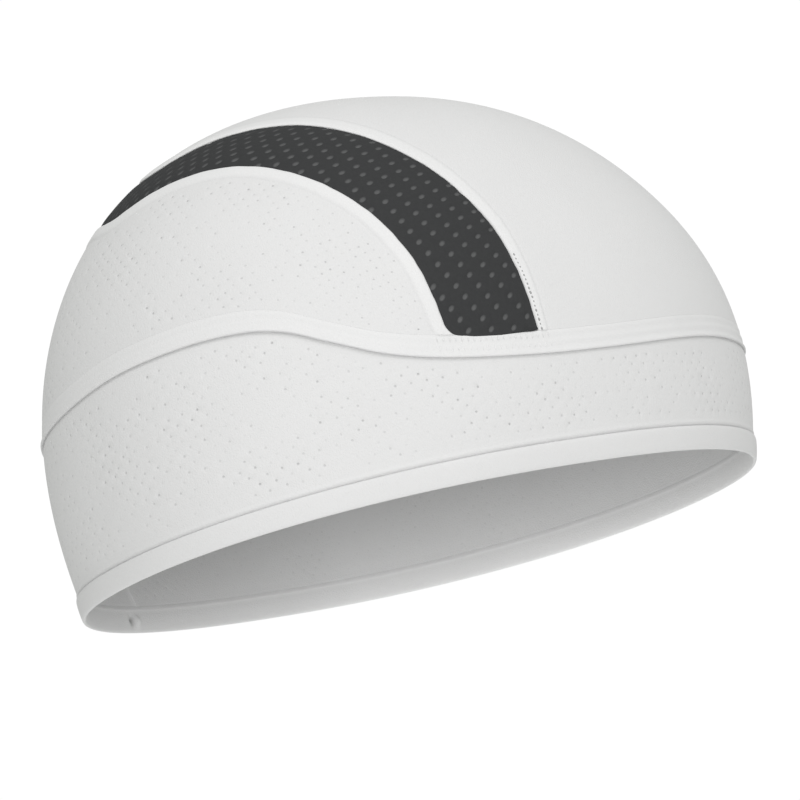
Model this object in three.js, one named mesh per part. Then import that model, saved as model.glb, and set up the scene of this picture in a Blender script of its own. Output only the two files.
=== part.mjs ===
// Close-fitting knit cap worn under a helmet: a perforated band with a folded hem, a topstitched
// seam strip, a front panel, a dark mesh stripe from ear to ear and a smooth crown panel.
// Millimetres, +Z up, forehead towards -Y. The origin is the inside of the crown's highest point,
// where the head carries the cap.
import * as THREE from 'three';

// Outer form of the cap as it sits on a head, measured from the plane of its rim
const LENGTH = 206;             // fullest oval, forehead to nape
const WIDTH = 161.6;            // fullest oval, side to side
const HEIGHT = 116.6;           // rim to the top of the crown
const OVAL_POWER = 2.1;         // 2 is an ellipse, more is squarer
const CROWN_FORWARD = 7.2;      // how far the crown leans over the forehead
const FRONT_POWER = 2.3;        // the same for the rise to the crown over the forehead
const SIDE_POWER = 2.25;
const BACK_POWER = 2.45;
const FRONT_TUCK = 2.7;         // how far the elastic rim draws in at the forehead
const SIDE_TUCK = 11.4;
const BACK_TUCK = 12.9;
const TUCK_HEIGHT = 69.3;       // height over which the wall swells back out

// Fabric
const KNIT_WALL = 1.2;          // one layer of interlock knit with its backing
const MESH_WALL = 1.0;
const SEAM_GAP = 0.3;           // crease between two sewn pieces

// Folded hem
const HEM_HEIGHT = 5.8;
const HEM_PROUD = 0.8;
const HEM_THICKNESS = 2.5;
const HEM_ROUNDING = 0.6;

// Band: tall over the forehead, low at the sides, a little taller at the nape
const BAND_SIDE_HEIGHT = 26.2;
const BAND_FRONT_HEIGHT = 49.1;
const BAND_NAPE_HEIGHT = 28.2;
const NAPE_RISE = { from: 93, to: 133 };    // degrees round from the forehead

// Fall of the band's seam from the forehead to the side: share of the front's extra height that
// is left at an angle round from the forehead
const FRONT_WAVE = [
  { angle: 0, share: 1 },
  { angle: 20, share: 1 },
  { angle: 30, share: 0.934 },
  { angle: 36, share: 0.808 },
  { angle: 42, share: 0.581 },
  { angle: 50, share: 0.314 },
  { angle: 60, share: 0.14 },
  { angle: 75, share: 0.03 },
  { angle: 90, share: 0 },
];

// Seam strip: the turned and topstitched edge that joins the band to the panels above it
const STRIP_WIDTH = 6.1;
const STRIP_PROUD = 0.45;
const STRIP_BEVEL = 0.5;

// Edges of the mesh stripe: how far in front of the cap's middle they lie, as shares of half the
// length, by the angle above the horizon at which the cap is seen from the front
const STRIPE_EDGES = [
  { angle: 15, front: 0.39, back: 0.157 },
  { angle: 38, front: 0.392, back: 0.16 },
  { angle: 50, front: 0.427, back: 0.206 },
  { angle: 60, front: 0.49, back: 0.28 },
  { angle: 70, front: 0.571, back: 0.374 },
  { angle: 80, front: 0.66, back: 0.494 },
  { angle: 90, front: 0.714, back: 0.58 },
];

// Points inside the cap from which each panel is filled, as shares of half the length ahead of the
// middle and of the height
const FRONT_HEART = { ahead: 0.33, up: 0.22 };
const CROWN_HEART = { ahead: -0.12, up: 0.11 };

// Fineness of the faceted solids
const RING_STEPS = 80;
const BAND_ROWS = 4;
const ARCH_STEPS = 34;
const STRIPE_ROWS = 4;
const FRONT_RIM_STEPS = 20;
const FRONT_ROWS = 6;
const NAPE_RIM_STEPS = 48;
const CROWN_ROWS = 10;

const HALF_LENGTH = LENGTH / 2;
const HALF_WIDTH = WIDTH / 2;
const ease = (share) => (1 - Math.cos(Math.PI * THREE.MathUtils.clamp(share, 0, 1))) / 2;

// A value between the side's and the front's or back's, by how far fore or aft a point lies
const blend = (side, end, foreAft) => side + (end - side) * foreAft;

// How far out a point is: below 1 inside the cap's outer face, 1 on it, above 1 outside
function reach(point) {
  const z = point.z;
  const x = Math.abs(point.x);
  const forward = point.y + CROWN_FORWARD * (z / HEIGHT) ** 2;
  const y = Math.abs(forward);
  const oval = ((x / HALF_WIDTH) ** OVAL_POWER + (y / HALF_LENGTH) ** OVAL_POWER) ** (1 / OVAL_POWER);
  if (oval < 1e-9) return z / HEIGHT;
  const foreAft = (y / HALF_LENGTH / oval) ** OVAL_POWER;
  const ovalRadius = Math.hypot(x, y) / oval;
  const low = Math.max(1 - z / TUCK_HEIGHT, 0);
  const tuck = blend(SIDE_TUCK, forward < 0 ? FRONT_TUCK : BACK_TUCK, foreAft) * low ** 2;
  const power = blend(SIDE_POWER, forward < 0 ? FRONT_POWER : BACK_POWER, foreAft);
  return (oval / (1 - tuck / ovalRadius)) ** power + (Math.max(z, 0) / HEIGHT) ** power;
}

// The value between two others at which a test turns true, found by halving
function turningValue(low, high, isPast) {
  const halvings = 44;
  for (let step = 0; step < halvings; step++) {
    const middle = (low + high) / 2;
    if (isPast(middle)) high = middle;
    else low = middle;
  }
  return (low + high) / 2;
}

// Where a ray from inside the cap meets its outer face
function facePoint(start, direction) {
  const at = (distance) => start.clone().addScaledVector(direction, distance);
  return at(turningValue(0, LENGTH + HEIGHT, (distance) => reach(at(distance)) >= 1));
}

// Outward direction of the outer face at a point
function faceNormal(point) {
  const step = 0.05;
  const slope = (...axis) => {
    const offset = new THREE.Vector3(...axis).multiplyScalar(step);
    return reach(point.clone().add(offset)) - reach(point.clone().sub(offset));
  };
  return new THREE.Vector3(slope(1, 0, 0), slope(0, 1, 0), slope(0, 0, 1)).normalize();
}

// Point of the outer face at a height, by the angle round from the forehead towards +X
function wallPoint(angle, height) {
  const start = new THREE.Vector3(0, -CROWN_FORWARD * (height / HEIGHT) ** 2, height);
  return facePoint(start, new THREE.Vector3(Math.sin(angle), -Math.cos(angle), 0));
}

// Smooth curve through one column of a table, level at both ends
function curveThrough(rows, column, angle) {
  const last = rows.length - 1;
  let index = 0;
  while (index < last - 1 && rows[index + 1].angle < angle) index++;
  const [here, next] = [rows[index], rows[index + 1]];
  const span = next.angle - here.angle;
  const share = THREE.MathUtils.clamp((angle - here.angle) / span, 0, 1);
  const slope = (at) => {
    if (at === 0 || at === last) return 0;
    return (rows[at + 1][column] - rows[at - 1][column]) / (rows[at + 1].angle - rows[at - 1].angle);
  };
  const ahead = share ** 2 * (3 - 2 * share);
  return here[column] * (1 - ahead) + next[column] * ahead
    + span * share * (1 - share) * (slope(index) * (1 - share) - slope(index + 1) * share);
}

// Height of the band's upper seam, by the same angle
function seamHeight(angle) {
  const round = THREE.MathUtils.radToDeg(Math.abs(Math.atan2(Math.sin(angle), Math.cos(angle))));
  const wave = curveThrough(FRONT_WAVE, 'share', Math.min(round, 90));
  const rise = ease((round - NAPE_RISE.from) / (NAPE_RISE.to - NAPE_RISE.from));
  return BAND_SIDE_HEIGHT + (BAND_FRONT_HEIGHT - BAND_SIDE_HEIGHT) * wave
    + (BAND_NAPE_HEIGHT - BAND_SIDE_HEIGHT) * rise;
}

// Height where the panels start, above the seam strip
const panelHeight = (angle) => seamHeight(angle) + STRIP_WIDTH + SEAM_GAP / 2;

// Place along the length of one edge of the stripe, by the angle seen from the front
function stripeEdge(column, angle) {
  const above = THREE.MathUtils.radToDeg(Math.min(angle, Math.PI - angle));
  return -HALF_LENGTH * curveThrough(STRIPE_EDGES, column, above);
}

// Point of the outer face at a place along the length, by the angle seen from the front
function archPoint(angle, along) {
  return facePoint(new THREE.Vector3(0, along, 0), new THREE.Vector3(Math.cos(angle), 0, Math.sin(angle)));
}

// Angle round the cap of a point on its outer face
function angleRound(point) {
  return Math.atan2(point.x, -(point.y + CROWN_FORWARD * (point.z / HEIGHT) ** 2));
}

// Angle at which an arch reaches down to the seam strip, on the +X side
function footAngle(edge) {
  return turningValue(0, Math.PI / 2, (angle) => {
    const point = archPoint(angle, edge(angle));
    return point.z > panelHeight(angleRound(point));
  });
}

// An arch from the foot on the +X side over the crown to the foot on the -X side
function archLine(edge, steps) {
  const foot = footAngle(edge);
  return Array.from({ length: steps + 1 }, (_, index) => {
    const angle = foot + (Math.PI - 2 * foot) * index / steps;
    return archPoint(angle, edge(angle));
  });
}

// The panels' lower edge between two angles round the cap
function lowerEdge(from, to, steps) {
  return Array.from({ length: steps + 1 }, (_, index) => {
    const angle = from + (to - from) * index / steps;
    return wallPoint(angle, panelHeight(angle));
  });
}

// A closed mesh from points and triangles, moved to the cap's own origin
function meshFrom(name, material, points, triangles) {
  const geometry = new THREE.BufferGeometry();
  const numbers = points.flatMap((point) => point.toArray());
  geometry.setAttribute('position', new THREE.Float32BufferAttribute(numbers, 3));
  geometry.setIndex(triangles.flat());
  geometry.translate(0, CROWN_FORWARD, KNIT_WALL - HEIGHT);
  geometry.computeVertexNormals();
  const mesh = new THREE.Mesh(geometry, material);
  mesh.name = name;
  return mesh;
}

// A wall of fabric: an outer skin of points and triangles, its inner copy, and the cut edges
function fabricWall(name, material, skin, triangles, thickness) {
  const lining = skin.map((point) => point.clone().addScaledVector(faceNormal(point), -thickness));
  const count = skin.length;
  const key = (a, b) => `${a},${b}`;
  const edges = new Map(triangles.flatMap(([a, b, c]) => [[a, b], [b, c], [c, a]])
    .map(([a, b]) => [key(a, b), [a, b]]));
  const cut = [...edges.values()].filter(([a, b]) => !edges.has(key(b, a)));
  const solid = [
    ...triangles,
    ...triangles.map(([a, b, c]) => [a + count, c + count, b + count]),
    ...cut.flatMap(([a, b]) => [[b, a, a + count], [b, a + count, b + count]]),
  ];
  return meshFrom(name, material, [...skin, ...lining], solid);
}

// Triangles of a grid of rows, each row the same number of points; a closed grid joins its ends
function gridTriangles(rows, columns, closed) {
  const triangles = [];
  const width = closed ? columns : columns - 1;
  for (let row = 0; row < rows - 1; row++) {
    for (let column = 0; column < width; column++) {
      const a = row * columns + column;
      const b = row * columns + (column + 1) % columns;
      triangles.push([a, b, b + columns], [a, b + columns, a + columns]);
    }
  }
  return triangles;
}

// A ring round the cap whose cross-section is a closed loop of { height, proud } points
function ringSolid(name, material, section) {
  const points = [];
  let count = 0;
  for (let step = 0; step < RING_STEPS; step++) {
    const angle = 2 * Math.PI * step / RING_STEPS;
    const loop = section(angle);
    count = loop.length;
    for (const { height, proud } of loop) {
      const point = wallPoint(angle, height);
      points.push(point.addScaledVector(faceNormal(point), proud));
    }
  }
  const triangles = [];
  for (let step = 0; step < RING_STEPS; step++) {
    for (let index = 0; index < count; index++) {
      const next = (step + 1) % RING_STEPS;
      const a = step * count + index;
      const b = next * count + index;
      const c = next * count + (index + 1) % count;
      const d = step * count + (index + 1) % count;
      triangles.push([a, b, c], [a, c, d]);
    }
  }
  return meshFrom(name, material, points, triangles);
}

// A panel filled from its middle out to a closed border of points on the outer face
function fanPanel(name, material, border, start, rows, thickness) {
  const directions = border.map((point) => point.clone().sub(start).normalize());
  const middle = directions.reduce((sum, way) => sum.add(way), new THREE.Vector3()).normalize();
  const skin = [facePoint(start, middle)];
  for (let row = 1; row <= rows; row++) {
    directions.forEach((way, index) => {
      const turn = middle.angleTo(way);
      const share = row / rows;
      const aim = middle.clone().multiplyScalar(Math.sin((1 - share) * turn))
        .addScaledVector(way, Math.sin(share * turn)).normalize();
      skin.push(row === rows ? border[index].clone() : facePoint(start, aim));
    });
  }
  const columns = border.length;
  const hub = border.map((_, index) => [0, 1 + index, 1 + (index + 1) % columns]);
  const rest = gridTriangles(rows, columns, true)
    .map((triangle) => triangle.map((vertex) => vertex + 1))
    .map(([a, b, c]) => [a, c, b]);
  return fabricWall(name, material, skin, [...hub, ...rest], thickness);
}

// A point inside the cap on its midline
const heart = ({ ahead, up }) => new THREE.Vector3(0, -HALF_LENGTH * ahead, HEIGHT * up);

const whiteKnit = new THREE.MeshStandardMaterial({ color: 0xe4e5e4, roughness: 0.9, metalness: 0 });
const whiteTape = new THREE.MeshStandardMaterial({ color: 0xeeefee, roughness: 0.85, metalness: 0 });
const darkMesh = new THREE.MeshStandardMaterial({ color: 0x3c3c3d, roughness: 0.8, metalness: 0 });

// Hem: the band's lower edge folded up inside and stitched down, a little thicker than the band
function makeHem() {
  const inside = HEM_PROUD - HEM_THICKNESS;
  return ringSolid('hem', whiteKnit, () => [
    { height: HEM_ROUNDING, proud: HEM_PROUD },
    { height: HEM_HEIGHT - HEM_ROUNDING, proud: HEM_PROUD },
    { height: HEM_HEIGHT, proud: HEM_PROUD - HEM_ROUNDING },
    { height: HEM_HEIGHT, proud: inside + HEM_ROUNDING },
    { height: HEM_HEIGHT - HEM_ROUNDING, proud: inside },
    { height: HEM_ROUNDING, proud: inside },
    { height: 0, proud: inside + HEM_ROUNDING },
    { height: 0, proud: HEM_PROUD - HEM_ROUNDING },
  ]);
}

// Band: one layer of perforated knit between the hem and the wavy seam
function makeBand() {
  const skin = [];
  for (let row = 0; row <= BAND_ROWS; row++) {
    for (let step = 0; step < RING_STEPS; step++) {
      const angle = 2 * Math.PI * step / RING_STEPS;
      const low = HEM_HEIGHT + SEAM_GAP;
      const high = seamHeight(angle) - SEAM_GAP / 2;
      skin.push(wallPoint(angle, low + (high - low) * row / BAND_ROWS));
    }
  }
  const triangles = gridTriangles(BAND_ROWS + 1, RING_STEPS, true);
  return fabricWall('side_band', whiteKnit, skin, triangles, KNIT_WALL);
}

// Seam strip: follows the band's upper edge all the way round
function makeStrip() {
  return ringSolid('seam_strip', whiteTape, (angle) => {
    const low = seamHeight(angle) + SEAM_GAP / 2;
    const high = seamHeight(angle) + STRIP_WIDTH - SEAM_GAP / 2;
    return [
      { height: low, proud: STRIP_PROUD },
      { height: high - STRIP_BEVEL, proud: STRIP_PROUD },
      { height: high, proud: 0 },
      { height: high, proud: -KNIT_WALL },
      { height: low, proud: -KNIT_WALL },
    ];
  });
}

// Front panel: a half-dome over the forehead between the seam strip and the stripe
function makeFrontPanel() {
  const arch = archLine((angle) => stripeEdge('front', angle) - SEAM_GAP, ARCH_STEPS);
  const corner = angleRound(arch[0]);
  const rim = lowerEdge(-corner, corner, FRONT_RIM_STEPS);
  const border = [...arch, ...rim.slice(1, -1)];
  const start = heart(FRONT_HEART);
  return fanPanel('front_panel', whiteKnit, border, start, FRONT_ROWS, KNIT_WALL);
}

// Mesh stripe: from above one ear, over the head and down to above the other
function makeStripe() {
  const lines = Array.from({ length: STRIPE_ROWS + 1 }, (_, row) => {
    const back = row / STRIPE_ROWS;
    const across = (angle) => stripeEdge('front', angle) * (1 - back) + stripeEdge('back', angle) * back;
    return archLine(across, ARCH_STEPS);
  });
  const triangles = gridTriangles(STRIPE_ROWS + 1, ARCH_STEPS + 1, false).map(([a, b, c]) => [a, c, b]);
  return fabricWall('mesh_stripe', darkMesh, lines.flat(), triangles, MESH_WALL);
}

// Crown panel: everything behind the stripe, down to the seam strip at the nape
function makeCrownPanel() {
  const arch = archLine((angle) => stripeEdge('back', angle) + SEAM_GAP, ARCH_STEPS).reverse();
  const corner = angleRound(arch[arch.length - 1]);
  const rim = lowerEdge(corner, 2 * Math.PI - corner, NAPE_RIM_STEPS);
  const border = [...arch, ...rim.slice(1, -1)];
  const start = heart(CROWN_HEART);
  return fanPanel('crown_panel', whiteKnit, border, start, CROWN_ROWS, KNIT_WALL);
}

const cap = new THREE.Group();
cap.add(makeHem(), makeBand(), makeStrip(), makeFrontPanel(), makeStripe(), makeCrownPanel());

export default cap;
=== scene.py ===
# Knit cap to go under a helmet: the looks of each sewn piece, built over the imported model.
# Metres throughout. The cap's own form is worked out from its rim plane, with the forehead to -Y,
# and every mesh is then moved so that the origin is the inside of the crown's highest point.
import math

import bpy
import numpy as np
from mathutils import Matrix, Vector
from mathutils.geometry import delaunay_2d_cdt


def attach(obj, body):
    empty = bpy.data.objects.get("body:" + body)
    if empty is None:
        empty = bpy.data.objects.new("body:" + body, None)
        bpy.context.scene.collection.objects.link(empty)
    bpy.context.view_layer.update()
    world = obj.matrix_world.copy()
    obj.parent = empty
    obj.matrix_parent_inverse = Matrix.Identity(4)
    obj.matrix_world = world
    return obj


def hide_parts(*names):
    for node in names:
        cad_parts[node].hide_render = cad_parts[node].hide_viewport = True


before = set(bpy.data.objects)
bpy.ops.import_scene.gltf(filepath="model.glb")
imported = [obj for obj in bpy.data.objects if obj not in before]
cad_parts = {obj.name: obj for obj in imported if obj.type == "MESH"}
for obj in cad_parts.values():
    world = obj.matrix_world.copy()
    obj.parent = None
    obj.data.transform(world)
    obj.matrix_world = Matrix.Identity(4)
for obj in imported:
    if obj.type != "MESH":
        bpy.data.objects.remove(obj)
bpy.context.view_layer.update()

MM = 0.001


# Mesh stripe: charcoal air mesh, cut as one curved band and sewn in from above one ear, over the
# head, to above the other. Small oval eyes lie in slanted rows, and through them the paler back
# of the mesh shows. The white panels on both sides are turned under along its edges.
LENGTH = 206 * MM
WIDTH = 161.6 * MM
HEIGHT = 116.6 * MM
OVAL_POWER = 2.1
CROWN_FORWARD = 7.2 * MM
FRONT_POWER, SIDE_POWER, BACK_POWER = 2.3, 2.25, 2.45
FRONT_TUCK, SIDE_TUCK, BACK_TUCK = 2.7 * MM, 11.4 * MM, 12.9 * MM
TUCK_HEIGHT = 69.3 * MM
KNIT_WALL = 1.2 * MM
MESH_WALL = 1.0 * MM
TO_ORIGIN = np.array([0, CROWN_FORWARD, KNIT_WALL - HEIGHT])
HALVINGS = 40


def reach(points):
    """How far out points are: below 1 inside the cap's outer face, 1 on it."""
    x, y, z = points.T
    x = np.abs(x)
    forward = y + CROWN_FORWARD * (z / HEIGHT) ** 2
    oval = (x / (WIDTH / 2)) ** OVAL_POWER + (np.abs(forward) / (LENGTH / 2)) ** OVAL_POWER
    oval = np.maximum(oval, 1e-12) ** (1 / OVAL_POWER)
    fore_aft = (np.abs(forward) / (LENGTH / 2) / oval) ** OVAL_POWER
    low = np.maximum(1 - z / TUCK_HEIGHT, 0)
    end_tuck = np.where(forward < 0, FRONT_TUCK, BACK_TUCK)
    end_power = np.where(forward < 0, FRONT_POWER, BACK_POWER)
    tuck = (SIDE_TUCK + (end_tuck - SIDE_TUCK) * fore_aft) * low ** 2
    power = SIDE_POWER + (end_power - SIDE_POWER) * fore_aft
    radius = np.maximum(np.hypot(x, forward), 1e-9) / oval
    return (oval / (1 - tuck / radius)) ** power + (np.maximum(z, 0) / HEIGHT) ** power


def on_face(start, ways):
    """Where rays from inside the cap meet its outer face."""
    near = np.zeros(len(ways))
    far = np.full(len(ways), LENGTH + HEIGHT)
    for _ in range(HALVINGS):
        middle = (near + far) / 2
        outside = reach(start + middle[:, None] * ways) >= 1
        far = np.where(outside, middle, far)
        near = np.where(outside, near, middle)
    return start + near[:, None] * ways


def outward(points):
    """Unit normals of the outer face."""
    step = 0.05 * MM
    slopes = [reach(points + step * axis) - reach(points - step * axis) for axis in np.eye(3)]
    normals = np.stack(slopes, axis=1)
    return normals / np.linalg.norm(normals, axis=1, keepdims=True)


def curve_through(rows, column, at):
    """Smooth curve through one column of a table, level at both ends."""
    angles = np.array([row["angle"] for row in rows], float)
    values = np.array([row[column] for row in rows], float)
    slopes = np.zeros(len(rows))
    slopes[1:-1] = (values[2:] - values[:-2]) / (angles[2:] - angles[:-2])
    at = np.clip(at, angles[0], angles[-1])
    index = np.clip(np.searchsorted(angles, at, side="right") - 1, 0, len(rows) - 2)
    span = angles[index + 1] - angles[index]
    share = (at - angles[index]) / span
    ahead = share ** 2 * (3 - 2 * share)
    bend = span * share * (1 - share)
    bend = bend * (slopes[index] * (1 - share) - slopes[index + 1] * share)
    return values[index] * (1 - ahead) + values[index + 1] * ahead + bend


BAND_SIDE_HEIGHT = 26.2 * MM
BAND_FRONT_HEIGHT = 49.1 * MM
BAND_NAPE_HEIGHT = 28.2 * MM
NAPE_RISE_FROM, NAPE_RISE_TO = 93, 133
FRONT_WAVE = [
    {"angle": 0, "share": 1},
    {"angle": 20, "share": 1},
    {"angle": 30, "share": 0.934},
    {"angle": 36, "share": 0.808},
    {"angle": 42, "share": 0.581},
    {"angle": 50, "share": 0.314},
    {"angle": 60, "share": 0.14},
    {"angle": 75, "share": 0.03},
    {"angle": 90, "share": 0},
]
STRIP_WIDTH = 6.1 * MM
WORN_SAG = 3.3 * MM
SAG_NEAR, SAG_NEAR_EASE = 12, 30
SAG_FAR, SAG_FAR_EASE = -52, 26


def ease(share):
    return (1 - np.cos(np.pi * np.clip(share, 0, 1))) / 2


def hump(away, width):
    """1 on a line, falling off smoothly to both sides of it."""
    return np.exp(-(away / width) ** 2)


def seam_height(angle):
    """Height of the band's wavy upper seam, by the angle round from the forehead to +X.

    On the head, the seam sags a little on the -X side of the forehead.
    """
    turned = np.degrees(np.arctan2(np.sin(angle), np.cos(angle)))
    around = np.abs(turned)
    wave = curve_through(FRONT_WAVE, "share", around)
    rise = ease((around - NAPE_RISE_FROM) / (NAPE_RISE_TO - NAPE_RISE_FROM))
    sag = WORN_SAG * ease((SAG_NEAR - turned) / SAG_NEAR_EASE) * ease((turned - SAG_FAR) / SAG_FAR_EASE)
    return (BAND_SIDE_HEIGHT + (BAND_FRONT_HEIGHT - BAND_SIDE_HEIGHT) * wave
            + (BAND_NAPE_HEIGHT - BAND_SIDE_HEIGHT) * rise - sag)


def wall_point(angle, height):
    """Points of the outer face by angle round and height."""
    middle = np.zeros((len(angle), 3))
    middle[:, 1] = -CROWN_FORWARD * (height / HEIGHT) ** 2
    middle[:, 2] = height
    ways = np.stack([np.sin(angle), -np.cos(angle), np.zeros(len(angle))], axis=1)
    return on_face(middle, ways)


def angle_round(points):
    """Angle round of points, from the forehead to +X."""
    return np.arctan2(points[:, 0], -(points[:, 1] + CROWN_FORWARD * (points[:, 2] / HEIGHT) ** 2))


STRIPE_EDGES = [
    {"angle": 15, "front": 0.39, "back": 0.157},
    {"angle": 38, "front": 0.392, "back": 0.16},
    {"angle": 50, "front": 0.427, "back": 0.206},
    {"angle": 60, "front": 0.49, "back": 0.28},
    {"angle": 70, "front": 0.571, "back": 0.374},
    {"angle": 80, "front": 0.66, "back": 0.494},
    {"angle": 90, "front": 0.714, "back": 0.58},
]
FOOT_CORNER = 4.0 * MM
ARCH_RADIUS = 80 * MM


def arch_point(angle, along):
    """Points of the outer face by the angle seen from the front and the place along the length."""
    middle = np.zeros((len(angle), 3))
    middle[:, 1] = along
    ways = np.stack([np.cos(angle), np.zeros(len(angle)), np.sin(angle)], axis=1)
    return on_face(middle, ways)


def stripe_edge(column, angle):
    """Place along the length of one edge of the stripe, by the angle seen from the front."""
    above = np.degrees(np.minimum(angle, math.pi - angle))
    return -LENGTH / 2 * curve_through(STRIPE_EDGES, column, above)


def foot_angle(edge):
    """Angle at which an arch comes down to the seam strip."""
    low, high = 0.0, math.pi / 2
    for _ in range(HALVINGS):
        middle = (low + high) / 2
        point = arch_point(np.array([middle]), edge(np.array([middle])))
        if point[0, 2] > seam_height(angle_round(point))[0] + STRIP_WIDTH:
            high = middle
        else:
            low = middle
    return (low + high) / 2


def stripe_middle(angle):
    """The same for the stripe's middle line."""
    return stripe_edge("front", angle) * 0.5 + stripe_edge("back", angle) * 0.5


def arch_line(edge, count):
    """The arch from the foot on the +X side to the foot on the -X side."""
    foot = foot_angle(edge)
    angle = foot + (math.pi - 2 * foot) * ease(np.linspace(0, 1, count))
    return arch_point(angle, edge(angle))


def arc_lengths(line):
    """How far along a line each of its points lies."""
    return np.concatenate([[0], np.cumsum(np.linalg.norm(np.diff(line, axis=0), axis=1))])


def distance_to(points, line):
    """Distance in the flat cut from points to a line of points."""
    nearest = np.full(len(points), 1e9)
    for a, b in zip(line[:-1], line[1:]):
        along = b - a
        share = np.clip(((points - a) @ along) / max(along @ along, 1e-18), 0, 1)
        gap = np.linalg.norm(points - (a + share[:, None] * along), axis=1)
        nearest = np.minimum(nearest, gap)
    return nearest


def inside(points, outline):
    """Which points lie inside a closed flat outline."""
    x, y = points.T
    hits = np.zeros(len(points), bool)
    for (ax, ay), (bx, by) in zip(outline, np.roll(outline, -1, axis=0)):
        crosses = (ay > y) != (by > y)
        hits ^= crosses & (x < (bx - ax) * (y - ay) / (by - ay + 1e-30) + ax)
    return hits


SKEW_FIRST, SKEW_LAST = -16, 18
STEPS_BEYOND = 6


def lattice(outline, first, second, spare, start=(0, 0), skew=(0, 0)):
    """Points of a slanted lattice inside a flat outline, clear of its edge.

    Steps of second lean over by skew for each step of first, as in a cloth that is pulled askew.
    """
    basis = np.array([first, second])
    corners = np.linalg.solve(basis.T, (outline - start).T).T
    low, high = np.floor(corners.min(0)) - STEPS_BEYOND, np.ceil(corners.max(0)) + STEPS_BEYOND
    i, j = np.meshgrid(np.arange(low[0], high[0] + 1), np.arange(low[1], high[1] + 1))
    i, j = i.ravel(), j.ravel()
    points = np.stack([i, j], axis=1) @ basis + start
    points = points + (np.clip(i, SKEW_FIRST, SKEW_LAST) * j)[:, None] * np.array(skew)
    points = points[inside(points, outline)]
    return points[distance_to(points, np.vstack([outline, outline[:1]])) > spare]


def clear_of(points, eyes, gap):
    """Fill points without those that would crowd an eye."""
    cells = {}
    for eye_middle in eyes:
        cells.setdefault((int(eye_middle[0] // gap), int(eye_middle[1] // gap)), []).append(eye_middle)
    kept = []
    for point in points:
        i, j = int(point[0] // gap), int(point[1] // gap)
        near = [eye for a in (i - 1, i, i + 1) for b in (j - 1, j, j + 1) for eye in cells.get((a, b), [])]
        if all(math.hypot(*(point - eye)) > gap for eye in near):
            kept.append(point)
    return np.array(kept)


SHARP_ANGLE = math.radians(50)


def mesh_object(name, points, faces, corner_uv, marks):
    """A mesh object at the origin from rim-frame points, with its flat cut as UV map."""
    moved = points + TO_ORIGIN
    mesh = bpy.data.meshes.new(name)
    mesh.from_pydata(moved.tolist(), [], [list(map(int, face)) for face in faces])
    uv = mesh.uv_layers.new(name="flat_cut")
    loops = np.empty(len(mesh.loops), np.int32)
    mesh.loops.foreach_get("vertex_index", loops)
    uv.data.foreach_set("uv", corner_uv[loops].astype(np.float32).ravel())
    for mark, values in marks.items():
        attribute = mesh.attributes.new(mark, "FLOAT", "POINT")
        attribute.data.foreach_set("value", values.astype(np.float32))
    mesh.shade_smooth()
    mesh.set_sharp_from_angle(angle=SHARP_ANGLE)
    piece = bpy.data.objects.new(name, mesh)
    bpy.context.collection.objects.link(piece)
    return piece


INNER_RELIEF = 0.3


def cut_cloth(name, outline, fill, eyes, eye, place, relief, wall, strength=None, tone_and_painted_shading=None):
    """A piece of cloth with pressed eyes: cut flat, then laid on the cap's form.

    outline and fill are flat points, eyes the centres of the eyes and eye their shape. place puts
    flat points on the outer face, and relief says how far the cloth stands off it. strength is how
    open each eye is, and tone how much lighter or darker the cloth is: mostly painted shade in
    grooves and creases and painted light on ridges.
    """
    turn = 2 * np.pi * np.arange(eye["sides"]) / eye["sides"]
    rim = np.stack([np.cos(turn) * eye["across"] / 2, np.sin(turn) * eye["along"] / 2], axis=1)
    lean = np.array([[math.cos(eye["lean"]), math.sin(eye["lean"])],
                     [-math.sin(eye["lean"]), math.cos(eye["lean"])]])
    rim = rim @ lean
    rims = (eyes[:, None] + rim).reshape(-1, 2)
    floors = (eyes[:, None] + rim * eye["floor"]).reshape(-1, 2)
    flat = np.vstack([outline, fill, rims, floors])
    is_floor = np.zeros(len(flat))
    opened = np.ones(len(eyes)) if strength is None else strength
    is_floor[len(flat) - len(floors):] = np.repeat(opened, eye["sides"])
    count = len(outline)
    edges = [(i, (i + 1) % count) for i in range(count)]
    scaled = [Vector(point) for point in (flat / MM).tolist()]
    made, _, triangles, origins, _, _ = delaunay_2d_cdt(scaled, edges, [], 1, 1e-5)
    source = np.array([origin[0] for origin in origins])
    flat = np.array([tuple(point) for point in made]) * MM
    is_floor = is_floor[source]
    triangles = np.array(triangles)
    a, b, c = flat[triangles].transpose(1, 0, 2)
    clockwise = (b - a)[:, 0] * (c - a)[:, 1] - (b - a)[:, 1] * (c - a)[:, 0] < 0
    triangles[clockwise] = triangles[clockwise][:, ::-1]
    face = place(flat)
    normal = outward(face)
    height = relief(flat)
    outer = face + normal * (height - is_floor * eye["depth"])[:, None]
    inner = face + normal * (height * INNER_RELIEF - wall + is_floor * eye["back_depth"])[:, None]
    loops = np.vstack([triangles[:, [0, 1]], triangles[:, [1, 2]], triangles[:, [2, 0]]])
    _, index, uses = np.unique(np.sort(loops, axis=1), axis=0, return_index=True, return_counts=True)
    border = loops[index[uses == 1]]
    total = len(flat)
    faces = triangles.tolist() + (triangles[:, ::-1] + total).tolist()
    faces += [[int(b), int(a), int(a + total), int(b + total)] for a, b in border]
    marks = {"eye": np.concatenate([is_floor, is_floor])}
    marks["inside"] = np.repeat([0.0, 1.0], total)
    if tone_and_painted_shading is not None:
        marks["tone_and_painted_shading"] = np.tile(tone_and_painted_shading(flat), 2)
    return mesh_object(name, np.vstack([outer, inner]), faces, np.vstack([flat, flat]), marks)


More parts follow.
